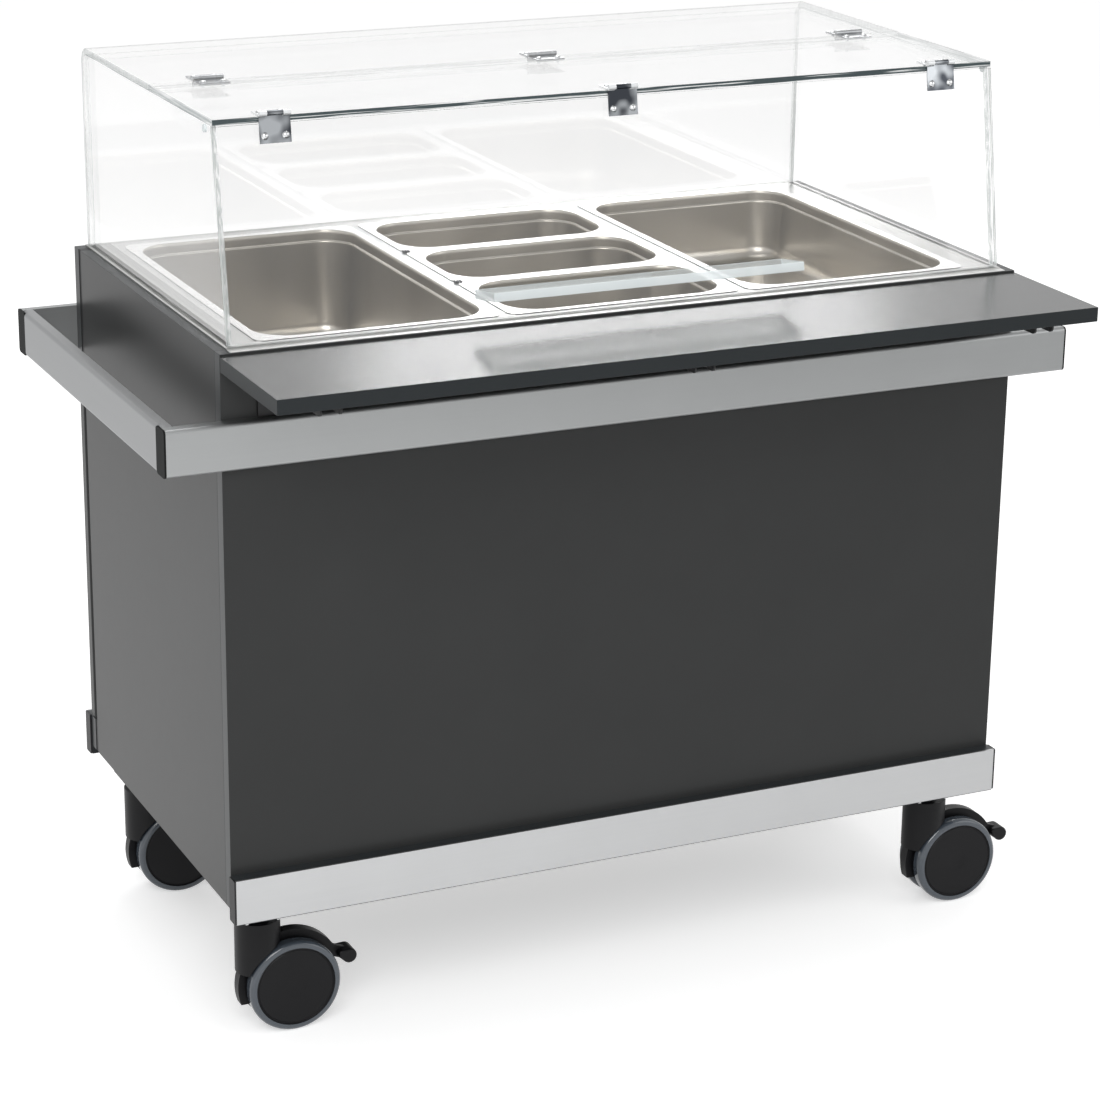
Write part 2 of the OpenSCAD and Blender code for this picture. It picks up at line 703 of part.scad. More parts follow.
module caster_body(braked) color(BLACK) difference() {
    union() {
        wheel_axis() linear_extrude(web_t, center = true) {
            intersection() {
                circle(web_r);
                rotate(30) translate([-web_r, 0]) square([2 * web_r, web_r]);
            }
            circle(20);
            translate(pedal_p) circle(10);
        }
        translate([0, 0, boss_z]) cylinder(h = body_top - boss_z, r = boss_r);
        cylinder(h = plate_z0 - 0.3, r = neck_r);
    }
    // room for the wheels
    for (s = [-1, 1]) wheel_axis() translate([0, 0, s * (web_t / 2 + wheel_w)])
        cylinder(h = 2 * wheel_w, r = wheel_r + wheel_room, center = true);
    translate([0, 0, -1]) cylinder(h = skirt_z + 1, r = boss_r + 1);
    wheel_axis() cylinder(h = 2 * web_t, r = axle_r + run_fit, center = true);
    translate([0, 0, body_top - king_deep - 0.5])
        cylinder(h = 2 * king_deep, r = king_r + run_fit);
    if (braked) wheel_axis() {
        linear_extrude(8.6, center = true) {
            slot(pedal_p, pedal_q, pedal_r + 3);
            translate(pedal_p) rotate(-18) translate(-pedal_p) slot(pedal_p, pedal_q, pedal_r + 3);
        }
        translate(pedal_p) cylinder(h = 2 * web_t, r = 3 + run_fit, center = true);
    }
}

module front_left_caster_body() at_caster(-1, -1) caster_body(true);
module front_right_caster_body() at_caster(1, -1) caster_body(true);
module rear_left_caster_body() at_caster(-1, 1) caster_body(false);
module rear_right_caster_body() at_caster(1, 1) caster_body(false);

module tyre_pair() color(TYRE) wheel_axis() for (s = [-1, 1]) translate([0, 0, s * wheel_y])
    rotate_extrude() translate([hub_r, 0]) {
        t = wheel_r - hub_r;
        r = t / 2 - 0.1;
        translate([0, -wheel_w / 2]) square([t - r, wheel_w]);
        translate([0, r - wheel_w / 2]) square([t, wheel_w - 2 * r]);
        for (y = [-1, 1]) translate([t - r, y * (wheel_w / 2 - r)]) circle(r);
    }

module front_left_tyres() at_caster(-1, -1) tyre_pair();
module front_right_tyres() at_caster(1, -1) tyre_pair();
module rear_left_tyres() at_caster(-1, 1) tyre_pair();
module rear_right_tyres() at_caster(1, 1) tyre_pair();

// two hubs on their common axle
module wheel_core() color(BLACK) wheel_axis() {
    cylinder(h = 2 * wheel_y, r = axle_r, center = true);
    for (s = [-1, 1]) translate([0, 0, s * wheel_y]) mirror([0, 0, s > 0 ? 0 : 1])
        rotate_extrude() {
            translate([0, wheel_w / 2 - 5]) square([hub_r, 4]);
            translate([hub_r - 5, 0.5 - wheel_w / 2]) square([5, wheel_w - 1.5]);
            translate([0, -wheel_w / 2]) square([14, wheel_w - 1]);
        }
}

module front_left_wheel_core() at_caster(-1, -1) wheel_core();
module front_right_wheel_core() at_caster(1, -1) wheel_core();
module rear_left_wheel_core() at_caster(-1, 1) wheel_core();
module rear_right_wheel_core() at_caster(1, 1) wheel_core();

module brake_pedal() color(BLACK) wheel_axis() {
    linear_extrude(8, center = true) slot(pedal_p, pedal_q, pedal_r);
    translate(pedal_p) cylinder(h = web_t, r = 3, center = true);
    translate(pedal_q) cylinder(h = paddle_l, r = paddle_r, center = true);
}

module front_left_brake_pedal() at_caster(-1, -1) brake_pedal();
module front_right_brake_pedal() at_caster(1, -1) brake_pedal();

// ---- assembly ------------------------------------------------------------------------------
left_end_panel();
right_end_panel();
front_board();
bottom_board();
rear_apron();
rear_sill();
rear_edge_strips();
chassis_tubes();
well();
bay_bars();
cross_bars();
left_pan();
middle_front_pan();
middle_centre_pan();
middle_rear_pan();
right_pan();
tray_shelf();
shelf_wall_brackets();
shelf_arms();
shelf_pivot_pins();
front_rail();
rear_rail();
side_rails();
rail_corner_caps();
strip_cores();
strip_faces();
strip_end_caps();
hood_rear_pane();
hood_left_pane();
hood_right_pane();
hood_top_flap();
hood_front_pane();
grip_strip();
rear_hinge_fixed_leaves();
rear_hinge_flap_leaves();
front_hinge_flap_leaves();
front_hinge_pane_leaves();
rear_pane_screws();
flap_screws();
front_pane_screws();
side_pane_bumpers();
left_door();
right_door();
door_pivots();
caster_plates();
caster_nuts();
front_left_caster_body();
front_right_caster_body();
rear_left_caster_body();
rear_right_caster_body();
front_left_tyres();
front_right_tyres();
rear_left_tyres();
rear_right_tyres();
front_left_wheel_core();
front_right_wheel_core();
rear_left_wheel_core();
rear_right_wheel_core();
front_left_brake_pedal();
front_right_brake_pedal();
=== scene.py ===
import math

import bmesh
import bpy
from mathutils import Matrix, Vector


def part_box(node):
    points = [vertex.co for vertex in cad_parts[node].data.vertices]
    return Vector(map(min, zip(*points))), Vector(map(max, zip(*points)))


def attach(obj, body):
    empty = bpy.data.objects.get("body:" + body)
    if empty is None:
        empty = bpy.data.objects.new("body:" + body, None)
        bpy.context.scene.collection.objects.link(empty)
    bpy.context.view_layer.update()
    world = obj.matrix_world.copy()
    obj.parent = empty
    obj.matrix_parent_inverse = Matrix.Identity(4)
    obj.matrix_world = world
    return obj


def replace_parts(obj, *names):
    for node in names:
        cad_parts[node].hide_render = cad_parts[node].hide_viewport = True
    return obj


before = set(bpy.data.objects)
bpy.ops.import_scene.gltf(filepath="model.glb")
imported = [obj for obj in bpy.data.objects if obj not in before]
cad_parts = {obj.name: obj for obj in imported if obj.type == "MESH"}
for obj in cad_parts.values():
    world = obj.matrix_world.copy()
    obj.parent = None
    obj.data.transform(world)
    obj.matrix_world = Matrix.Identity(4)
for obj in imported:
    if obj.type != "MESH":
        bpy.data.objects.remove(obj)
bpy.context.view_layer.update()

MM = 0.001

# ---- Cabinet boards -----------------------------------------------------------------------
# Particle boards 19 mm thick with a matt anthracite laminate on both faces and a 1 mm edge
# band of the same colour, glued and dowelled into a carcass that is closed in front.


class Wire:
    """One output of a shader node, so that shader maths can be written as an expression."""

    def __init__(self, nodes, socket):
        self.nodes, self.socket = nodes, socket

    def _math(self, operation, first, second):
        return self.nodes.node(
            "ShaderNodeMath", {"operation": operation}, {0: first, 1: second}
        )

    def __add__(self, other):
        return self._math("ADD", self, other)

    def __sub__(self, other):
        return self._math("SUBTRACT", self, other)

    def __rsub__(self, other):
        return self._math("SUBTRACT", other, self)

    def __mul__(self, other):
        return self._math("MULTIPLY", self, other)

    def __pow__(self, other):
        return self._math("POWER", self, other)

    def at_least(self, other):
        return self._math("MAXIMUM", self, other)

    __radd__ = __add__
    __rmul__ = __mul__


class Nodes:
    """A node tree; node() adds any node and returns one of its outputs."""

    def __init__(self, tree):
        self.tree = tree

    def node(self, kind, settings=None, sockets=None, out=0):
        made = self.tree.nodes.new(kind)
        for key, value in (settings or {}).items():
            setattr(made, key, value)
        for key, value in (sockets or {}).items():
            self.plug(made.inputs[key], value)
        return Wire(self, made.outputs[out])

    def plug(self, socket, value):
        """Gives a socket a link or a plain value."""
        if isinstance(value, Wire):
            self.tree.links.new(value.socket, socket)
        else:
            socket.default_value = value


class Finish(Nodes):
    """A material on the Principled shader, with its own grain, tint and relief."""

    def __init__(self, name, **fixed):
        self.material = bpy.data.materials.new(name)
        self.material.use_nodes = True
        super().__init__(self.material.node_tree)
        self.shader = self.tree.nodes["Principled BSDF"]
        for socket, value in fixed.items():
            self.shader.inputs[socket.replace("_", " ")].default_value = value
        self.place = self.node("ShaderNodeTexCoord", out="Object")

    def feed(self, socket, value):
        self.plug(self.shader.inputs[socket], value)

    def grain(self, scale, stretch=(1, 1, 1), detail=3.0, rough=0.55):
        """Noise of a given scale per metre, drawn out along an axis by a small stretch."""
        spot = self.node(
            "ShaderNodeMapping", sockets={"Vector": self.place, "Scale": stretch}
        )
        return self.node(
            "ShaderNodeTexNoise",
            sockets={"Vector": spot, "Scale": scale, "Detail": detail, "Roughness": rough},
        )

    def tint(self, amount, low, high):
        """A colour that runs from low to high with amount, from 0 to 1."""
        return self.node(
            "ShaderNodeMix",
            {"data_type": "RGBA", "clamp_factor": True},
            {0: amount, 6: (*low, 1), 7: (*high, 1)},
            out=2,
        )

    def relief(self, height, depth, strength):
        """Bump of that depth in metres."""
        self.feed(
            "Normal",
            self.node(
                "ShaderNodeBump",
                sockets={"Height": height, "Distance": depth, "Strength": strength},
            ),
        )


def laminate(name, dark, light, roughness, gloss=0.3):
    """A pressed laminate: soft clouds, a fine pearl and a rub along x."""
    board = Finish(name, Specular_IOR_Level=gloss)
    cloud = board.grain(7)
    pearl = board.grain(1400, detail=1.0)
    rub = board.grain(55, stretch=(0.25, 1, 1))
    board.feed("Base Color", board.tint(cloud * 0.6 + pearl * 0.4, dark, light))
    board.feed("Roughness", roughness - 0.02 + 0.02 * rub + 0.02 * pearl)
    board.relief(pearl, 0.00002, 0.3)
    return board.material


anthracite = laminate(
    "anthracite_laminate", (0.029, 0.030, 0.030), (0.039, 0.040, 0.040), 0.34, 0.16
)
shelf_face = laminate(
    "anthracite_shelf_face", (0.032, 0.034, 0.034), (0.044, 0.046, 0.046), 0.24, 0.85
)
edge_band = laminate(
    "anthracite_edge_band", (0.024, 0.027, 0.029), (0.034, 0.038, 0.040), 0.38
)
shelf_band = laminate(
    "shelf_edge_band", (0.019, 0.022, 0.024), (0.027, 0.031, 0.033), 0.38, 0.12
)


SHARP = math.radians(38)


def mesh_piece(name, shape, *materials, body="cabinet", slot):
    """Turns a bmesh into a piece that rides on a body, smooth but for its sharp edges."""
    bmesh.ops.recalc_face_normals(shape, faces=shape.faces)
    mesh = bpy.data.meshes.new(name)
    shape.to_mesh(mesh)
    shape.free()
    for material in materials:
        mesh.materials.append(material)
    piece = bpy.data.objects.new(name, mesh)
    bpy.context.scene.collection.objects.link(piece)
    mesh.shade_smooth()
    mesh.set_sharp_from_angle(angle=SHARP)
    weigh = piece.modifiers.new("normals", "WEIGHTED_NORMAL")
    weigh.keep_sharp = True
    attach(piece, body)
    return piece


def slab(lo, hi, edge, segments=2):
    """A block between two corners, with every edge eased where edge isn't 0."""
    lo, hi = Vector(lo), Vector(hi)
    shape = bmesh.new()
    bmesh.ops.create_cube(shape, size=1)
    for vertex in shape.verts:
        vertex.co = Vector(
            lo[k] + (vertex.co[k] + 0.5) * (hi[k] - lo[k]) for k in range(3)
        )
    if edge:
        bmesh.ops.bevel(
            shape, geom=shape.edges[:], offset=edge, segments=segments, profile=0.5,
            affect="EDGES",
        )
    return shape


FLAT = 0.6
EASE = 0.6 * MM


def band_edges(shape, flat):
    """Faces that do not look along the axis flat get the second material, the edge band."""
    shape.normal_update()
    for face in shape.faces:
        if abs(face.normal[flat]) < FLAT:
            face.material_index = 1


BOARDS = {
    "left_end_panel": 0, "right_end_panel": 0, "front_board": 1, "bottom_board": 2,
    "rear_apron": 1, "rear_sill": 1, "tray_shelf": 2,
}
for node, flat in BOARDS.items():
    shape = slab(*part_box(node), edge=EASE)
    band_edges(shape, flat)
    body, face, band = "cabinet", anthracite, edge_band
    if node == "tray_shelf":
        body, face, band = "tray_shelf_leaf", shelf_face, shelf_band
    board = mesh_piece(node + "_laminated", shape, face, band, body=body, slot="board")
    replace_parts(board, node)

# ---- Shadow-gap strips, chassis -----------------------------------------------------------
# Black plastic strips fill the gap between end panels and rear boards. Under the boards a
# frame of black square steel tube carries the caster plates; it hardly shows.


def moulded(name, dark, light, roughness, grain=900, gloss=0.32):
    """A plastic or a coat with a fine pebbled skin."""
    plastic = Finish(name, Specular_IOR_Level=gloss)
    speck = plastic.grain(grain, detail=2.0)
    cloud = plastic.grain(18)
    plastic.feed("Base Color", plastic.tint(cloud, dark, light))
    plastic.feed("Roughness", roughness - 0.06 + 0.12 * speck + 0.08 * cloud)
    plastic.relief(speck, 0.00005, 0.5)
    return plastic.material


def paint_node(node, material):
    """A CAD node that keeps its shape takes a material."""
    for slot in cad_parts[node].material_slots:
        slot.material = material


black_trim = moulded("black_trim", (0.010, 0.010, 0.011), (0.018, 0.018, 0.020), 0.45)
black_paint = moulded(
    "black_powder_coat", (0.012, 0.012, 0.013), (0.020, 0.020, 0.021), 0.4, grain=500
)
for node in ("rear_edge_strips", "strip_end_caps"):
    paint_node(node, black_trim)
for node in ("chassis_tubes", "shelf_wall_brackets", "shelf_arms"):
    paint_node(node, black_paint)

# ---- Rear doors ---------------------------------------------------------------------------
# Two laminated doors close the rear. They turn on steel pins and share a round finger hole
# where they meet.

for side in ("left", "right"):
    paint_node(side + "_door", anthracite)

# ---- Rails and bottom strips --------------------------------------------------------------
# Aluminium rails, satin anodised, ring the cabinet below its top; the extrusion marks run
# along them, and black plates close the ends of the front and rear rail. A flat bar of the
# same metal covers the dark bottom strips.


def drawn_metal(name, tone, roughness, along, marks=260):
    """Metal with fine lines along one axis, marks of them per metre."""
    metal = Finish(name, Metallic=1.0)
    stretch = [1.0, 1.0, 1.0]
    stretch[along] = 0.012
    lines = metal.grain(marks, stretch=tuple(stretch), detail=4.0, rough=0.7)
    smear = metal.grain(9)
    dark = tuple(0.90 * v for v in tone)
    light = tuple(min(1.0, 1.06 * v) for v in tone)
    metal.feed("Base Color", metal.tint(0.5 * lines + 0.5 * smear, dark, light))
    metal.feed("Roughness", roughness - 0.05 + 0.1 * lines + 0.06 * smear)
    metal.relief(lines, 0.00003, 0.6)
    return metal.material


ALUMINIUM = (0.36, 0.368, 0.37)
rail_long = drawn_metal("anodised_rail_long", ALUMINIUM, 0.42, along=0)
# the side rails take a darker copy of the same metal: painted shade on the rails along the
# ends
rail_side = drawn_metal("anodised_rail_side_painted_shade", (0.315, 0.32, 0.325), 0.42, along=1)
bar_metal = drawn_metal("anodised_bottom_bar", (0.53, 0.535, 0.54), 0.38, along=0)


def join(first, second):
    """Adds the second bmesh to the first."""
    spare = bpy.data.meshes.new("spare")
    second.to_mesh(spare)
    second.free()
    first.from_mesh(spare)
    bpy.data.meshes.remove(spare)
    return first


RAIL_R, PLATE_T, PLATE_DEEP = 5 * MM, 2.5 * MM, 31 * MM


def round_edges(shape, along, wanted=lambda spot: True):
    """Rounds the edges of a block that run along an axis, where their place is wanted."""
    edges = [
        e for e in shape.edges
        if abs(e.verts[0].co[along] - e.verts[1].co[along]) > 1 * MM
        and wanted(e.verts[0].co)
    ]
    bmesh.ops.bevel(
        shape, geom=edges, offset=RAIL_R, segments=4, profile=0.5, affect="EDGES"
    )
    return shape


def rail_run(lo, hi, along, outer):
    """A rail between two corners; its two long edges on the outer side are rounded."""
    across = 1 - along
    middle = (lo[across] + hi[across]) / 2
    return round_edges(
        slab(lo, hi, edge=0), along, lambda spot: outer * (spot[across] - middle) > 0
    )


# the ring's outer box is the corner caps' box, and the side rails lie between the long ones
ring_lo, ring_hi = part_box("rail_corner_caps")
inner_lo, inner_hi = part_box("side_rails")
rail_w = ring_hi.y - inner_hi.y
for node, y0, y1, outer in (
    ("front_rail", ring_lo.y, inner_lo.y, -1), ("rear_rail", inner_hi.y, ring_hi.y, 1),
):
    run = rail_run(
        (ring_lo.x + PLATE_T, y0, ring_lo.z), (ring_hi.x - PLATE_T, y1, ring_hi.z), 0, outer
    )
    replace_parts(mesh_piece(node + "_run", run, rail_long, slot="rail_aluminium"), node)

sides, plates = bmesh.new(), bmesh.new()
near, far = ring_lo.y + PLATE_DEEP, ring_hi.y - PLATE_DEEP
for outer in (-1, 1):
    for y0, y1, recess in (
        (inner_lo.y, near, PLATE_T), (near, far, 0), (far, inner_hi.y, PLATE_T)
    ):
        x0, x1 = sorted((outer * (ring_hi.x - rail_w), outer * (ring_hi.x - recess)))
        join(sides, rail_run((x0, y0, ring_lo.z), (x1, y1, ring_hi.z), 1, outer))
    x0, x1 = sorted((outer * (ring_hi.x - PLATE_T), outer * ring_hi.x))
    for y0, y1 in ((ring_lo.y, near), (far, ring_hi.y)):
        join(plates, round_edges(slab((x0, y0, ring_lo.z), (x1, y1, ring_hi.z), edge=0), 0))
side_runs = mesh_piece("side_rail_runs", sides, rail_side, slot="rail_aluminium")
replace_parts(side_runs, "side_rails")
plate_black = moulded(
    "black_plate", (0.007, 0.008, 0.008), (0.011, 0.012, 0.012), 0.55, gloss=0.08
)
end_plates = mesh_piece("rail_end_plates", plates, plate_black, slot="dark_edge")
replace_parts(end_plates, "rail_corner_caps")
paint_node("strip_faces", bar_metal)
paint_node("strip_cores", edge_band)

# a thin dark slab hangs under each bar's face and paints a dark line along its lower edge
LINE_T, LINE_IN = 0.9 * MM, 0.2 * MM
bars_lo, bars_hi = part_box("strip_faces")
core_lo, core_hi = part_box("strip_cores")
for name, y0, y1 in (
    ("front_strip_foot_line", bars_lo.y + LINE_IN, core_lo.y),
    ("rear_strip_foot_line", core_hi.y, bars_hi.y - LINE_IN),
):
    line = slab((bars_lo.x, y0, bars_lo.z - LINE_T), (bars_hi.x, y1, bars_lo.z), edge=LINE_IN)
    mesh_piece(name, line, edge_band, slot="dark_edge")

# ---- Well and bars ------------------------------------------------------------------------
# A welded stainless tub hangs by its wide rim from the board tops; two bars divide it into
# three bays and two cross bars divide the middle bay.

rim_steel = drawn_metal("brushed_well_steel", (0.50, 0.50, 0.49), 0.30, along=0, marks=420)
# the bay bars take darker steel than the rim: painted shade in the seams between the pan
# flanges
bar_steel = drawn_metal("brushed_bar_steel_painted_shade", (0.44, 0.45, 0.45), 0.26, along=1, marks=420)
paint_node("well", rim_steel)
paint_node("bay_bars", bar_steel)
paint_node("cross_bars", rim_steel)

# the rim's front lip laps over the edge of the front board
LIP_T, LIP_BACK, LIP_EASE = 1.2 * MM, 1.5 * MM, 0.4 * MM
# the lip's steel is much lighter than the rim's: a painted highlight along the front edge
lip_steel = drawn_metal("brushed_lip_steel_painted_highlight", (0.72, 0.72, 0.71), 0.28, along=0, marks=420)
well_lo, well_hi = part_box("well")
board_lo, board_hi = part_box("front_board")
lip = slab(
    (well_lo.x, board_lo.y + LIP_BACK, board_hi.z), (well_hi.x, well_lo.y, board_hi.z + LIP_T),
    edge=LIP_EASE,
)
mesh_piece("well_front_lip", lip, lip_steel, slot="pan_steel")

# ribbed lugs, three fins each, end the cross bars at the left bay bar
LUG_X, LUG_Y, LUG_BACK, LUG_SINK = 9 * MM, 8 * MM, 0.5 * MM, 1.2 * MM
FIN, FIN_H, FIN_EASE, FINS = 1.8 * MM, 2.2 * MM, 0.5 * MM, 3
lug_metal = drawn_metal("lug_steel", (0.16, 0.165, 0.17), 0.35, along=1, marks=420)
bay_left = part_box("middle_front_pan")[0].x
for name, near, far in (
    ("front_bar_end_lug", "middle_front_pan", "middle_centre_pan"),
    ("rear_bar_end_lug", "middle_centre_pan", "middle_rear_pan"),
):
    seam = (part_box(near)[1].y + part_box(far)[0].y) / 2
    lug_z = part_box(near)[1].z
    lug = bmesh.new()
    for k in range(FINS):
        x = bay_left - LUG_BACK + k * (LUG_X - FIN) / (FINS - 1)
        join(lug, slab(
            (x, seam - LUG_Y / 2, lug_z - LUG_SINK),
            (x + FIN, seam + LUG_Y / 2, lug_z + FIN_H), edge=FIN_EASE,
        ))
    mesh_piece(name, lug, lug_metal, slot="bright_metal")

# ---- Pans ---------------------------------------------------------------------------------
# Deep-drawn stainless gastronorm pans with a flat flange, large corner radii, a stacking
# shoulder below the mouth and walls that draw in towards the bottom.


FLANGE, FLANGE_R = 13 * MM, 14 * MM
MOUTH_R, FOOT_R = 45 * MM, 20 * MM
SHEET = 1.2 * MM
BAND = 14 * MM
DRAW = 0.035
CORNER_STEPS, FOOT_STEPS = 9, 7
# rings of the flange's top and underside: inset from its rim, depth, corner radius
FLANGE_TOP = (
    (0.35 * MM, 0, FLANGE_R - 0.35 * MM),
    (FLANGE - 4 * MM, 0, MOUTH_R + 4 * MM),
    (FLANGE - 1.5 * MM, 0.4 * MM, MOUTH_R + 1.5 * MM),
    (FLANGE - 0.4 * MM, 1.6 * MM, MOUTH_R + 0.4 * MM),
)
FLANGE_UNDER = (
    (0, 0.35 * MM, FLANGE_R),
    (0, SHEET, FLANGE_R),
    (FLANGE - SHEET - 1 * MM, SHEET, MOUTH_R + SHEET + 1 * MM),
)
# rings of the straight band and the stacking shoulder: inset from the mouth, depth
SHOULDER = (
    (0, 5 * MM), (0.4 * MM, BAND), (1.4 * MM, BAND + 1.0 * MM), (3.0 * MM, BAND + 1.5 * MM),
    (3.8 * MM, BAND + 3 * MM),
)


def rounded_ring(shape, centre, half_x, half_y, radius, z):
    """Points round a rectangle with rounded corners, at one height."""
    ring = []
    for quarter in range(4):
        sx = 1 if quarter in (0, 3) else -1
        sy = 1 if quarter < 2 else -1
        for k in range(CORNER_STEPS + 1):
            turn = math.radians(90 * quarter + 90 * k / CORNER_STEPS)
            ring.append(
                shape.verts.new((
                    centre[0] + sx * (half_x - radius) + radius * math.cos(turn),
                    centre[1] + sy * (half_y - radius) + radius * math.sin(turn),
                    z,
                ))
            )
    return ring


def skin(shape, rings, closed=True):
    """Faces from ring to ring, and one over the last ring where it is closed."""
    for low, high in zip(rings, rings[1:]):
        for k in range(len(low)):
            j = (k + 1) % len(low)
            shape.faces.new((low[k], low[j], high[j], high[k]))
    if closed:
        shape.faces.new(rings[-1])


# the pan steel is darker than the flange steel of the same sheet: painted shade inside the
# pans
drawn_steel = Finish("deep_drawn_steel", Metallic=1.0)
# its noise, drawn out upright, paints soft vertical reflection bands on the walls as well as
# smudges
smudge_and_sheen = drawn_steel.grain(9, stretch=(1, 1, 0.35), detail=1.5)
drawn_steel.feed(
    "Base Color", drawn_steel.tint(smudge_and_sheen, (0.30, 0.275, 0.235), (0.58, 0.555, 0.51))
)
drawn_steel.feed("Roughness", 0.26 + 0.08 * smudge_and_sheen)
drawn_steel.relief(drawn_steel.grain(6, detail=0.0), 0.0008, 0.15)
flange_steel = drawn_metal(
    "polished_flange_steel", (0.78, 0.775, 0.765), 0.24, along=0, marks=300
)
# dark steel for the flanges' outer rims: painted shadow lines in the seams between the pans
flange_shadow_edge = drawn_metal("flange_rim_painted_shadow", (0.10, 0.10, 0.10), 0.45, along=0, marks=300)
SKIN_DEEP, RIM_W, UPRIGHT = 1 * MM, 1.5 * MM, 0.4


def pan(node):
    """A pan in the box of its node: flange, mouth, shoulder, drawn wall and rounded foot."""
    lo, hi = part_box(node)
    centre = ((lo.x + hi.x) / 2, (lo.y + hi.y) / 2)
    half = Vector(((hi.x - lo.x) / 2, (hi.y - lo.y) / 2))
    depth = hi.z - lo.z
    shape = bmesh.new()

    def ring(inset, down, radius):
        return rounded_ring(
            shape, centre, half.x - inset, half.y - inset, radius, hi.z - down
        )

    def wall(shift):
        """Rings down the wall, on the inner face for shift 0 and the outer face for SHEET."""
        rings = [
            ring(FLANGE + inset - shift, down, MOUTH_R - inset + shift)
            for inset, down in SHOULDER
        ]
        last_in, last_down = SHOULDER[-1]
        foot_down = depth - SHEET - FOOT_R
        foot_in = last_in + DRAW * (foot_down - last_down)
        floor_down = depth - SHEET + shift
        for k in range(FOOT_STEPS + 1):
            turn = math.radians(90 * k / FOOT_STEPS)
            inset = foot_in + FOOT_R * (1 - math.cos(turn))
            down = foot_down + (floor_down - foot_down) * math.sin(turn)
            grow = shift * math.cos(turn)
            rings.append(ring(FLANGE + inset - grow, down, MOUTH_R - inset + grow))
        return rings

    inner = [ring(*place) for place in FLANGE_TOP] + wall(0)
    outer = [ring(*place) for place in FLANGE_UNDER] + wall(SHEET)
    skin(shape, inner)
    skin(shape, outer)
    skin(shape, [inner[0], outer[0]], closed=False)
    shape.normal_update()
    for face in shape.faces:
        middle = face.calc_center_median()
        rim = max(abs(middle.x - centre[0]) - half.x, abs(middle.y - centre[1]) - half.y)
        if middle.z > hi.z - SKIN_DEEP:
            # the flange's outer rim faces take the dark steel, a painted shadow line
            shaded_rim = rim > -RIM_W and abs(face.normal.z) < UPRIGHT
            face.material_index = 2 if shaded_rim else 1
    made = mesh_piece(
        node + "_drawn", shape, drawn_steel.material, flange_steel, flange_shadow_edge,
        body=node + "_lift_out", slot="pan_steel",
    )
    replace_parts(made, node)


for node in (
    "left_pan", "middle_front_pan", "middle_centre_pan", "middle_rear_pan", "right_pan"
):
    pan(node)

# ---- Clear hood ---------------------------------------------------------------------------
# Panes of 8 mm acrylic with polished edges. The rear pane and the fixed rear top are one bent
# sheet glued on the side panes; the top flap and the front pane hang on chrome hinges.


def clear_sheet(name, mirror=0.04):
    """Clear acrylic: a mirror as strong as its Fresnel reflection, over what lies behind."""
    sheet = Finish(name, Metallic=1.0, Base_Color=(1, 1, 1, 1))
    glance = sheet.node("ShaderNodeLayerWeight", sockets={"Blend": 0.5}, out="Facing")
    gloss = mirror + (1 - mirror) * glance ** 5
    haze = sheet.grain(5)
    wipe = sheet.grain(120, stretch=(0.2, 1, 1), detail=2.0)
    sheet.feed("Alpha", gloss + 0.02 * haze)
    sheet.feed("Roughness", 0.01 + 0.02 * wipe)
    return sheet.material


def polished_edge(name, along, dark=(0.10, 0.13, 0.13), solid=0.9, share=0.46):
    """An edge of clear sheet: painted reflection streaks, of what the sheet's inside mirrors,
    run along it.
    """
    edge = Finish(name, IOR=1.49)
    stretch = [1.0, 1.0, 1.0]
    stretch[along] = 0.02
    streaks = edge.grain(420, stretch=tuple(stretch), detail=1.5)
    band = edge.node(
        "ShaderNodeMapRange",
        sockets={"Value": streaks, "From Min": share, "From Max": share + 0.14},
    )
    edge.feed("Base Color", edge.tint(band, dark, (0.92, 0.94, 0.94)))
    edge.feed("Alpha", solid - 0.25 * band)
    edge.feed("Roughness", 0.06 + 0.08 * band)
    return edge.material


clear_pane = clear_sheet("clear_acrylic")
rear_clear = clear_sheet("clear_acrylic_rear", 0.10)
# each edge takes its own dark tone and share of light streaks by how it faces: painted
# reflection
edge_foot = polished_edge("acrylic_edge_foot", 0, (0.50, 0.52, 0.53), 0.95, 0.40)
edge_across = polished_edge("acrylic_edge_across", 0, (0.05, 0.07, 0.075), 1.0, 0.56)
edge_deep = polished_edge("acrylic_edge_deep", 1, (0.36, 0.40, 0.40), 0.8)
edge_tall = polished_edge("acrylic_edge_tall", 2, (0.45, 0.49, 0.48), 0.75)
edge_faint = polished_edge("acrylic_edge_at_split", 0, (0.60, 0.62, 0.62), 0.35)
# round the bend the sheet darkens towards its outline, as a clear rod does
bend_glass = Finish("acrylic_bend", Metallic=1.0)
glance = bend_glass.node("ShaderNodeLayerWeight", sockets={"Blend": 0.5}, out="Facing")
bend_glass.feed(
    "Base Color", bend_glass.tint(glance ** 2, (0.9, 0.9, 0.9), (0.02, 0.025, 0.025))
)
bend_glass.feed("Alpha", 0.06 + 0.90 * glance ** 2)
bend_glass.feed("Roughness", 0.02 + 0.02 * bend_glass.grain(120, stretch=(0.2, 1, 1)))


EDGE_EASE, EDGE_ANGLE = 0.5 * MM, math.radians(40)


def prism(outline, x0, x1):
    """An outline in (y, z) drawn out along x, with its edges eased."""
    shape = bmesh.new()
    near = [shape.verts.new((x0, y, z)) for y, z in outline]
    far = [shape.verts.new((x1, y, z)) for y, z in outline]
    shape.faces.new(near)
    shape.faces.new(list(reversed(far)))
    for k in range(len(outline)):
        j = (k + 1) % len(outline)
        shape.faces.new((near[k], far[k], far[j], near[j]))
    bmesh.ops.recalc_face_normals(shape, faces=shape.faces)
    sharp = [e for e in shape.edges if e.calc_face_angle(0) > EDGE_ANGLE]
    bmesh.ops.bevel(
        shape, geom=sharp, offset=EDGE_EASE, segments=1, profile=0.5, affect="EDGES"
    )
    return shape


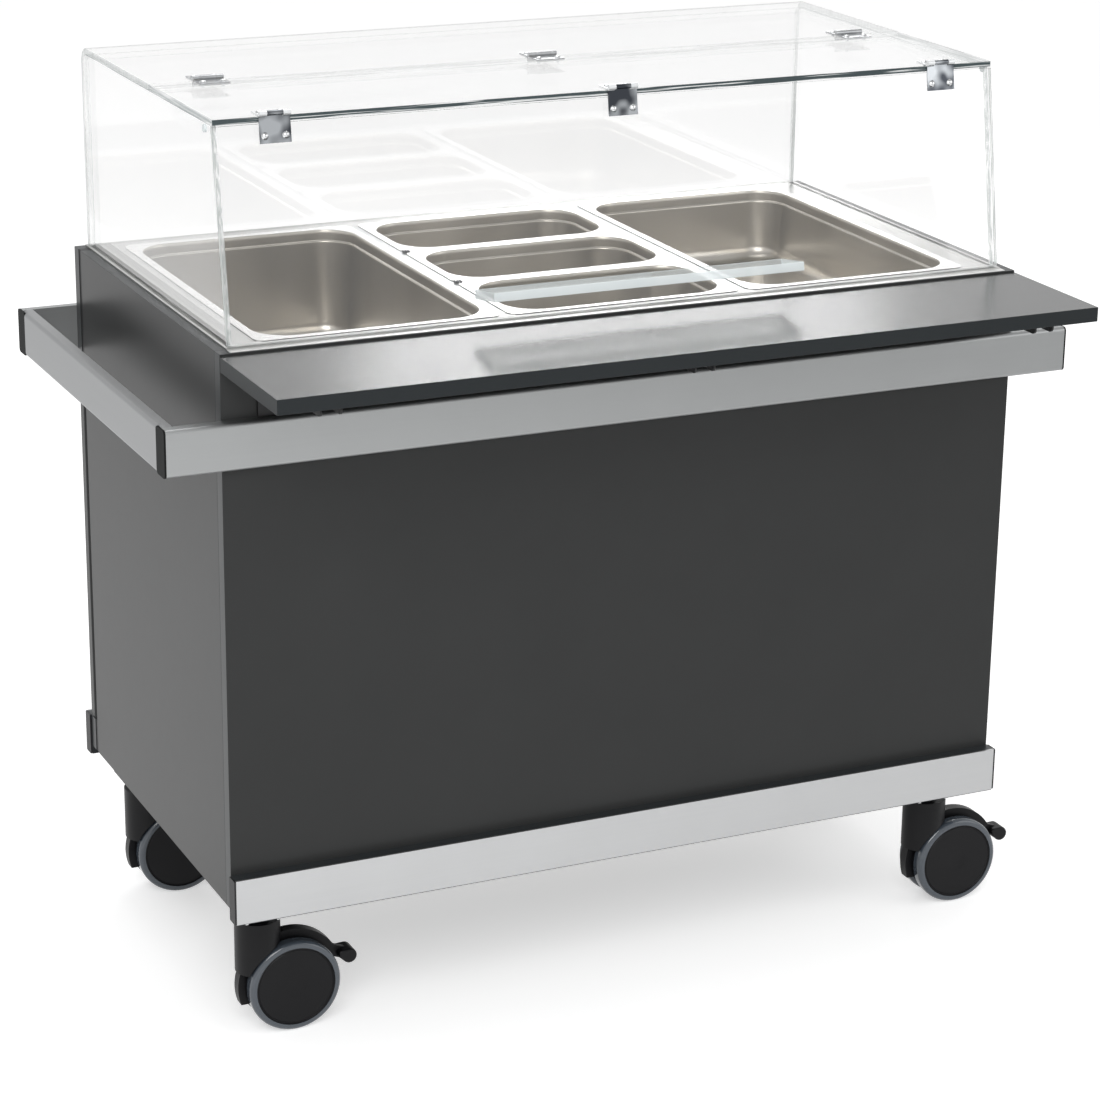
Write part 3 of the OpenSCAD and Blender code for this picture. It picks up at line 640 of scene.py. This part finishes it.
# the faces of a sheet take the first of these, and its edges one of the others
EDGES = (
    clear_pane, edge_across, edge_deep, edge_tall, edge_faint, bend_glass.material, edge_foot
)
ACROSS, DEEP, TALL, AT_SPLIT, BENT, FOOT = range(1, len(EDGES))


def edge_faces(shape, thin, runs):
    """Faces that look along another axis than the sheet's thin one are its edges."""
    shape.normal_update()
    for face in shape.faces:
        facing = max(range(3), key=lambda k: abs(face.normal[k]))
        if facing != thin:
            face.material_index = runs[facing]


PANE, BEND, BEND_STEPS = 8 * MM, 20 * MM, 10
HOOD_H, FOOT_GAP, LEAN_BACK = 270 * MM, 2 * MM, 44 * MM
SPLIT = 1 * MM
hood_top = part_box("hood_top_flap")[1].z
flap_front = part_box("hood_top_flap")[0].y
half_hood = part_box("hood_rear_pane")[1].x
lean = math.atan(LEAN_BACK / (HOOD_H - FOOT_GAP))
turns = [math.radians(90 * k / BEND_STEPS) for k in range(BEND_STEPS + 1)]


def bend(hi, radius):
    """Points round the rear top bend at a radius, from the upright to the level part."""
    y, z = hi.y - BEND, hi.z - BEND
    return [(y + radius * math.cos(a), z + radius * math.sin(a)) for a in turns]


# bent rear sheet
END_ON, SLANTED = 0.3, 0.05
lo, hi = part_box("hood_rear_pane")
bent = (
    [(hi.y - PANE, lo.z), (hi.y, lo.z)] + bend(hi, BEND)
    + [(lo.y, hi.z), (lo.y, hi.z - PANE)] + bend(hi, BEND - PANE)[::-1]
)
shape = prism(bent, -half_hood, half_hood)
shape.normal_update()
for face in shape.faces:
    middle, normal = face.calc_center_median(), face.normal
    if abs(normal.x) > END_ON:
        face.material_index = TALL
    elif middle.y < lo.y + SPLIT or middle.z < lo.z + SPLIT:
        face.material_index = AT_SPLIT
    elif abs(normal.y) > SLANTED and abs(normal.z) > SLANTED:
        face.material_index = BENT
rear_sheet = mesh_piece("bent_rear_sheet", shape, rear_clear, *EDGES[1:], slot="acrylic")
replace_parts(rear_sheet, "hood_rear_pane")


def front_line(z, inset):
    """y of the leaning front pane's face at height z, moved inwards by inset."""
    return flap_front - (hood_top - z) * math.tan(lean) + inset / math.cos(lean)


# side sheets, cut to the bend and to the lean of the front
for side in ("left", "right"):
    lo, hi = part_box(f"hood_{side}_pane")
    corner_y, corner_z = hi.y - (BEND - PANE), hi.z - (BEND - PANE)
    corner = [
        (corner_y + (BEND - PANE) * math.cos(a), corner_z + (BEND - PANE) * math.sin(a))
        for a in turns
    ]
    outline = (
        [(front_line(lo.z, PANE + SPLIT), lo.z), (hi.y, lo.z)] + corner
        + [(front_line(hi.z, PANE + SPLIT), hi.z)]
    )
    shape = prism(outline, lo.x, hi.x)
    edge_faces(shape, 0, {1: TALL, 2: DEEP})
    pane = mesh_piece(f"{side}_side_sheet", shape, *EDGES, slot="acrylic")
    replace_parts(pane, f"hood_{side}_pane")

# top flap
shape = slab(*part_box("hood_top_flap"), edge=EASE, segments=1)
edge_faces(shape, 2, {0: DEEP, 1: ACROSS})
for face in shape.faces:
    if face.material_index == ACROSS and face.normal.y > 0:
        face.material_index = AT_SPLIT
flap = mesh_piece("top_flap_sheet", shape, *EDGES, body="top_flap", slot="acrylic")
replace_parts(flap, "hood_top_flap")


def leaning_block(x0, x1, u0, u1, v0, v1, edge):
    """A block in the front pane's own frame: u inwards from its face, v up along it."""
    shape = slab((x0, u0, v0), (x1, u1, v1), edge=edge, segments=2)
    turn = Matrix.Rotation(-lean, 4, "X")
    shape.transform(Matrix.Translation((0, flap_front, hood_top)) @ turn)
    return shape


# front pane
slant = math.cos(lean)
pane_low = -(HOOD_H - FOOT_GAP - SPLIT - PANE * math.sin(lean)) / slant
pane_high = -(PANE + SPLIT) / slant
shape = leaning_block(-half_hood, half_hood, 0, PANE, pane_low, pane_high, EASE)
edge_faces(shape, 1, {0: TALL, 2: ACROSS})
for face in shape.faces:
    if face.material_index == ACROSS and face.normal.z < 0:
        face.material_index = FOOT
front_sheet = mesh_piece("front_pane_sheet", shape, *EDGES, body="front_pane", slot="acrylic")
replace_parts(front_sheet, "hood_front_pane")

# grip strip, thick acrylic glued flat under the middle of the front pane
GRIP_L, GRIP_D, GRIP_T, GRIP_Z, GRIP_EASE = 430 * MM, 60 * MM, 12 * MM, 42 * MM, 1.2 * MM


def thick_acrylic(name, low, high, rough, mottle, solid):
    """Thick acrylic: clouded colour, with some roughness and solidity of its own."""
    block = Finish(name, IOR=1.49)
    block.feed("Base Color", block.tint(block.grain(25), low, high))
    block.feed("Roughness", rough + mottle * block.grain(90))
    block.feed("Alpha", solid + 0.10 * block.grain(12))
    return block.material


frosted = thick_acrylic(
    "thick_acrylic_strip", (0.76, 0.83, 0.84), (0.86, 0.91, 0.92), 0.10, 0.08, 0.76
)
clear_block = thick_acrylic(
    "thick_acrylic_top", (0.74, 0.80, 0.81), (0.84, 0.89, 0.90), 0.05, 0.05, 0.18
)
grip_v = -(HOOD_H - GRIP_Z) / slant
shape = leaning_block(-GRIP_L / 2, GRIP_L / 2, -GRIP_D, 0, grip_v - GRIP_T, grip_v, GRIP_EASE)
edge_faces(shape, 2, {0: 1, 1: 1})
grip = mesh_piece("grip_bar", shape, clear_block, frosted, body="front_pane", slot="acrylic")
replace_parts(grip, "grip_strip")
paint_node("side_pane_bumpers", frosted)

# ---- Hinges and screws --------------------------------------------------------------------
# Bright plated butt hinges, screwed through the sheets with dome-headed screws.


def plated(name, tone, roughness):
    """Bright plated metal with a faint cloud and a very fine skin."""
    metal = Finish(name, Metallic=1.0)
    cloud = metal.grain(90)
    metal.feed("Base Color", metal.tint(cloud, tuple(0.88 * v for v in tone), tone))
    metal.feed("Roughness", roughness + 0.08 * cloud)
    metal.relief(metal.grain(700, detail=2.0), 0.00002, 0.4)
    return metal.material


def soft_leaf(name, metallic, scale, low, high, rough, mottle):
    """A rolled leaf with painted reflection: soft light and dark patches of its surround."""
    leaf = Finish(name, Metallic=metallic)
    leaf.feed("Base Color", leaf.tint(leaf.grain(scale), low, high))
    leaf.feed("Roughness", rough + mottle * leaf.grain(160))
    return leaf.material


chrome = plated("bright_chrome", (0.70, 0.71, 0.72), 0.10)
zinc = plated("bright_zinc", (0.80, 0.81, 0.82), 0.20)
# painted reflection on the hinge leaves: the front flap's leaves light, the rear hinges'
# leaves in darker patches
top_leaf = soft_leaf(
    "hinge_top_leaf_painted_reflection", 0.7, 45, (0.22, 0.23, 0.24), (0.62, 0.63, 0.64), 0.16, 0.10
)
flap_leaf = soft_leaf(
    "hinge_flap_leaf_painted_reflection", 0.3, 60, (0.66, 0.68, 0.69), (0.86, 0.87, 0.88), 0.12, 0.08
)
# painted reflection on the leaves of the front pane: sharp dark and light patches
pane_leaf = Finish("hinge_leaf_painted_reflection", Metallic=1.0)
sweep = pane_leaf.node("ShaderNodeMapRange", sockets={
    "Value": pane_leaf.grain(38, detail=1.0), "From Min": 0.38, "From Max": 0.62,
})
pane_leaf.feed("Base Color", pane_leaf.tint(sweep, (0.05, 0.055, 0.065), (0.42, 0.44, 0.46)))
pane_leaf.feed("Roughness", 0.06 + 0.06 * pane_leaf.grain(160))

HARDWARE = {
    chrome: (
        "rear_pane_screws", "flap_screws", "front_pane_screws", "shelf_pivot_pins",
        "door_pivots",
    ),
    top_leaf: ("rear_hinge_fixed_leaves", "rear_hinge_flap_leaves"),
    pane_leaf.material: ("front_hinge_pane_leaves",),
    flap_leaf: ("front_hinge_flap_leaves",),
}
for metal, nodes in HARDWARE.items():
    for node in nodes:
        paint_node(node, metal)

# ---- Casters ------------------------------------------------------------------------------
# Twin-wheel swivel casters: zinc-plated top plate with tapered nuts, black nylon body, slate
# grey rubber tyres on black discs, and a brake pedal on the front pair.

paint_node("caster_plates", zinc)
paint_node("caster_nuts", zinc)
nylon = moulded("black_nylon", (0.004, 0.004, 0.005), (0.007, 0.007, 0.008), 0.38, gloss=0.2)
rubber = Finish("slate_rubber", Coat_Weight=0.5, Coat_Roughness=0.05)
dust = rubber.grain(26)
fine = rubber.grain(1100, detail=2.0)
rubber.feed("Base Color", rubber.tint(dust, (0.050, 0.062, 0.078), (0.066, 0.080, 0.098)))
rubber.feed("Roughness", 0.11 + 0.06 * dust + 0.03 * fine)
rubber.relief(fine, 0.00004, 0.4)


def lathe(profile, centre, segments=72):
    """A profile of (radius, y) turned about an axis along y through centre."""
    shape = bmesh.new()
    rings = []
    for radius, y in profile:
        if radius == 0:
            rings.append([shape.verts.new((centre.x, centre.y + y, centre.z))])
            continue
        rings.append([
            shape.verts.new((
                centre.x + radius * math.cos(2 * math.pi * k / segments),
                centre.y + y,
                centre.z + radius * math.sin(2 * math.pi * k / segments),
            ))
            for k in range(segments)
        ])
    for low, high in zip(rings, rings[1:]):
        for k in range(segments):
            j = (k + 1) % segments
            if len(low) == 1:
                shape.faces.new((low[0], high[j], high[k]))
            elif len(high) == 1:
                shape.faces.new((low[k], low[j], high[0]))
            else:
                shape.faces.new((low[k], low[j], high[j], high[k]))
    return shape


HUB_R, WHEEL_W, TREAD_R, TREAD_STEPS = 54 * MM, 21 * MM, 6 * MM, 8
AXLE_R, AXLE_SEGMENTS = 6 * MM, 32
# the disc's section: radius in mm, outer (1) or inner (-1) side, depth below it in mm
DISC = (
    (0, 1, 2.2), (14, 1, 2.2), (15, 1, 1.6), (40, 1, 1.2), (50.5, 1, 0.9), (51.3, 1, 1.6),
    (52.2, 1, 1.6), (53, 1, 0.6), (53.9, 1, 0.8), (53.9, -1, 0.6), (49, -1, 0.6), (49, 1, 6),
    (14, 1, 6), (14, -1, 0), (0, -1, 0),
)


def tyre_section(radius, half):
    """A tyre's section in (radius, y), with both shoulders of its tread rounded."""
    section = [(HUB_R, half)]
    for k in range(2 * TREAD_STEPS + 1):
        turn = math.radians(90 - 90 * k / TREAD_STEPS)
        level = half - TREAD_R if k <= TREAD_STEPS else TREAD_R - half
        section.append(
            (radius - TREAD_R + TREAD_R * math.cos(turn), level + TREAD_R * math.sin(turn))
        )
    return section + [(HUB_R, -half), (HUB_R, half)]


for corner in ("front_left", "front_right", "rear_left", "rear_right"):
    lo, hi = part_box(corner + "_tyres")
    centre = (lo + hi) / 2
    radius = (hi.z - lo.z) / 2
    half = WHEEL_W / 2
    offset = (hi.y - lo.y) / 2 - half
    tyres, discs = bmesh.new(), bmesh.new()
    for sign in (-1, 1):
        middle = centre + Vector((0, sign * offset, 0))
        tread = [(r, sign * y) for r, y in tyre_section(radius, half)]
        join(tyres, lathe(tread, middle))
        disc = [(r * MM, sign * side * (half - deep * MM)) for r, side, deep in DISC]
        join(discs, lathe(disc, middle))
    wheels = mesh_piece(
        corner + "_tyre_pair", tyres, rubber.material, body=corner + "_wheels",
        slot="tyre_rubber",
    )
    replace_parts(wheels, corner + "_tyres")
    axle = [(0, -offset), (AXLE_R, -offset), (AXLE_R, offset), (0, offset)]
    join(discs, lathe(axle, centre, AXLE_SEGMENTS))
    hubs = mesh_piece(
        corner + "_hub_discs", discs, nylon, body=corner + "_wheels", slot="caster_plastic"
    )
    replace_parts(hubs, corner + "_wheel_core")
    paint_node(corner + "_caster_body", nylon)


ROUND_STEPS = 42


def outline_round(points):
    """The hull of circles (x, z, radius), as an anticlockwise outline."""
    cloud = [
        (x + r * math.cos(a), z + r * math.sin(a))
        for x, z, r in points
        for a in (2 * math.pi * k / ROUND_STEPS for k in range(ROUND_STEPS))
    ]
    cloud = sorted(set((round(x, 7), round(z, 7)) for x, z in cloud))
    lower, upper = [], []
    for chain, spots in ((lower, cloud), (upper, cloud[::-1])):
        for spot in spots:
            while len(chain) > 1 and (
                (chain[-1][0] - chain[-2][0]) * (spot[1] - chain[-2][1])
                - (chain[-1][1] - chain[-2][1]) * (spot[0] - chain[-2][0])
            ) <= 0:
                chain.pop()
            chain.append(spot)
    return lower[:-1] + upper[:-1]


def plate_y(outline, y0, y1, edge, segments=3):
    """An outline in (x, z) made thick along y, with its rims rounded."""
    shape = bmesh.new()
    near = [shape.verts.new((x, y0, z)) for x, z in outline]
    far = [shape.verts.new((x, y1, z)) for x, z in outline]
    rims = [shape.faces.new(near), shape.faces.new(far[::-1])]
    for k in range(len(outline)):
        j = (k + 1) % len(outline)
        shape.faces.new((near[k], far[k], far[j], near[j]))
    bmesh.ops.recalc_face_normals(shape, faces=shape.faces)
    bmesh.ops.bevel(
        shape, geom=[e for f in rims for e in f.edges], offset=edge, segments=segments,
        profile=0.5, affect="EDGES",
    )
    return shape


# brake pedals: an arm from the pivot, and a round paddle with a short web
ARM_R, ARM_W, ARM_EASE = 7.9 * MM, 8 * MM, 0.8 * MM
PIVOT_IN, TIP_R = 8 * MM, 10 * MM
WEB_R, WEB_START, PADDLE_EASE = 6 * MM, 0.72, 3 * MM
for side in ("left", "right"):
    node = f"front_{side}_brake_pedal"
    lo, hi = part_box(node)
    middle_y = (lo.y + hi.y) / 2
    tip_x, tip_z = hi.x - TIP_R, lo.z + TIP_R
    root_x, root_z = lo.x + PIVOT_IN, hi.z - PIVOT_IN
    web_x = root_x + WEB_START * (tip_x - root_x)
    web_z = root_z + WEB_START * (tip_z - root_z)
    arm = plate_y(
        outline_round([(root_x, root_z, ARM_R), (tip_x, tip_z, ARM_R)]),
        middle_y - ARM_W / 2, middle_y + ARM_W / 2, ARM_EASE,
    )
    paddle = plate_y(
        outline_round([(web_x, web_z, WEB_R), (tip_x, tip_z, TIP_R)]),
        lo.y, hi.y, PADDLE_EASE, segments=4,
    )
    pedal = mesh_piece(
        f"front_{side}_pedal_moulded", join(arm, paddle), nylon, body=f"front_{side}_brake",
        slot="caster_plastic",
    )
    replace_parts(pedal, node)

# ---- Studio -------------------------------------------------------------------------------
# A pale floor that runs out of sight, three large soft lamps, a small one far behind whose
# glow lies on the tray shelf, and a white surround.

FLOOR_REACH = 30


def ray(nodes, kind):
    """1 for rays of a kind, and 0 for the others."""
    return nodes.node("ShaderNodeLightPath", out=f"Is {kind} Ray")


floor_finish = Finish(
    "pale_floor", Roughness=0.9, Specular_IOR_Level=0.1, Emission_Strength=0.48
)
floor_finish.feed(
    "Base Color", floor_finish.tint(floor_finish.grain(0.7), (0.80,) * 3, (0.82,) * 3)
)
# mirrors see the floor white on the left, and dark far out on the right
across = floor_finish.node("ShaderNodeSeparateXYZ", sockets={0: floor_finish.place}, out="X")
lit_side = floor_finish.node("ShaderNodeMapRange", sockets={
    "Value": across, "From Min": 0.0, "From Max": 1.9, "To Min": 1.0, "To Max": 0.0,
})
shown = ray(floor_finish, "Camera").at_least(ray(floor_finish, "Glossy") * lit_side)
floor_finish.feed("Emission Color", floor_finish.tint(
    shown.at_least(ray(floor_finish, "Transmission")), (0, 0, 0), (1, 1, 1)
))
floor_mesh = bpy.data.meshes.new("floor")
floor_mesh.from_pydata(
    [(x, y, 0) for x, y in (
        (-FLOOR_REACH, -FLOOR_REACH), (FLOOR_REACH, -FLOOR_REACH),
        (FLOOR_REACH, FLOOR_REACH), (-FLOOR_REACH, FLOOR_REACH),
    )],
    [], [(0, 1, 2, 3)],
)
floor = bpy.data.objects.new("floor", floor_mesh)
floor_mesh.materials.append(floor_finish.material)
bpy.context.scene.collection.objects.link(floor)

# the surround is white to the camera and through glass; mirrors see it darken overhead
world = bpy.data.worlds.new("white_surround")
bpy.context.scene.world = world
world.use_nodes = True
sky = Nodes(world.node_tree)
height = sky.node("ShaderNodeSeparateXYZ", sockets={
    0: sky.node("ShaderNodeTexCoord", out="Generated"),
}, out="Z")
ceiling = sky.node("ShaderNodeMapRange", {"interpolation_type": "SMOOTHSTEP"}, {
    "Value": height, "From Min": 0.45, "From Max": 0.90, "To Min": 1.0, "To Max": 0.12,
})
level = sky.node("ShaderNodeMapRange", sockets={
    "Value": ray(sky, "Camera").at_least(ray(sky, "Transmission")),
    "To Min": 0.62, "To Max": 1.0,
})
back = sky.tree.nodes["Background"]
sky.plug(back.inputs["Color"], (1, 1, 1, 1))
sky.plug(back.inputs["Strength"], level.at_least(ray(sky, "Glossy") * ceiling))

AIM = Vector((0, 0, 0.7))
LAMPS = (
    ("key_lamp", (-2.0, -3.4, 3.4), (2.4, 2.4), 95),
    ("fill_lamp", (3.2, -2.6, 2.2), (2.6, 2.6), 24),
    ("top_lamp", (0.2, 1.2, 4.2), (2.4, 2.4), 45),
    ("shelf_glow_lamp", (1.95, 3.83, 2.37), (1.4, 0.5), 14.5),
)
for name, spot, size, watts in LAMPS:
    lamp = bpy.data.lights.new(name, "AREA")
    lamp.shape, lamp.energy = "RECTANGLE", watts
    lamp.size, lamp.size_y = size
    holder = bpy.data.objects.new(name, lamp)
    holder.location = spot
    holder.visible_camera = False
    holder.rotation_euler = (AIM - Vector(spot)).to_track_quat("-Z", "Y").to_euler()
    bpy.context.scene.collection.objects.link(holder)

# ---- Camera -------------------------------------------------------------------------------
# Set at the viewing angle of the photograph: from the left in front, looking down.

YAW, PITCH, ROLL = (math.radians(v) for v in (24.91, 18.91, 0.72))
EYE = Vector((-1.75906, -3.7395, 1.96141))
FOCAL_PIXELS, FRAME_PIXELS, SENSOR = 3235.34, 1100, 36
look = Vector((
    math.sin(YAW) * math.cos(PITCH), math.cos(YAW) * math.cos(PITCH), -math.sin(PITCH)
))
right = Vector((math.cos(YAW), -math.sin(YAW), 0))
up = right.cross(look)
level_right = right * math.cos(ROLL) + up * math.sin(ROLL)
level_up = up * math.cos(ROLL) - right * math.sin(ROLL)
eye = bpy.data.cameras.new("camera")
eye.sensor_width = SENSOR
eye.lens = FOCAL_PIXELS / FRAME_PIXELS * SENSOR
camera = bpy.data.objects.new("camera", eye)
turned = Matrix((level_right, level_up, -look)).transposed()
camera.matrix_world = Matrix.Translation(EYE) @ turned.to_4x4()
bpy.context.scene.collection.objects.link(camera)
bpy.context.scene.camera = camera
bpy.context.scene.view_settings.view_transform = "Standard"
